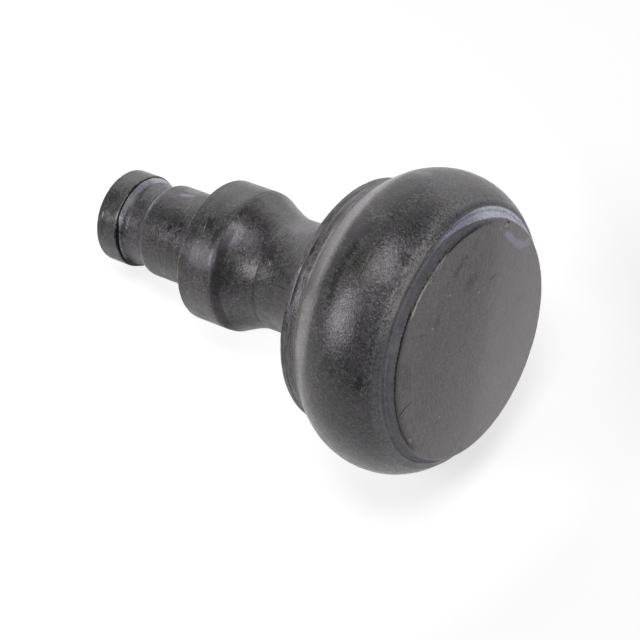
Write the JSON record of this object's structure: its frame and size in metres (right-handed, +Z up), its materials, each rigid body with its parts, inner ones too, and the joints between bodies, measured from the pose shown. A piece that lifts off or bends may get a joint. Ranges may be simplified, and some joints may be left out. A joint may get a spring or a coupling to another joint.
{
  "type": "curtain finial",
  "caption": "Turned iron curtain finial with a rounded mushroom head, flat face, waisted neck, collar and a round spigot that plugs into a hollow pole; lies on its side.",
  "frame": {"origin": "on the ground under the middle of the finial's bounding box, as it lies on its side", "axes": "+X runs from the spigot to the head along the ground, +Z is up; the finial's own axis lies in the XZ plane and tips about 15.7 degrees, head up, because the bead and the spigot's end touch the ground"},
  "size_m": [0.086, 0.056, 0.0547],
  "materials": {
    "waxed_iron": "dark grey waxed iron, half-matt, mottled, with fine turned lines and pale wax left in the recesses"
  },
  "bodies": {
    "root": {"finial": "waxed_iron"}
  },
  "joints": []
}
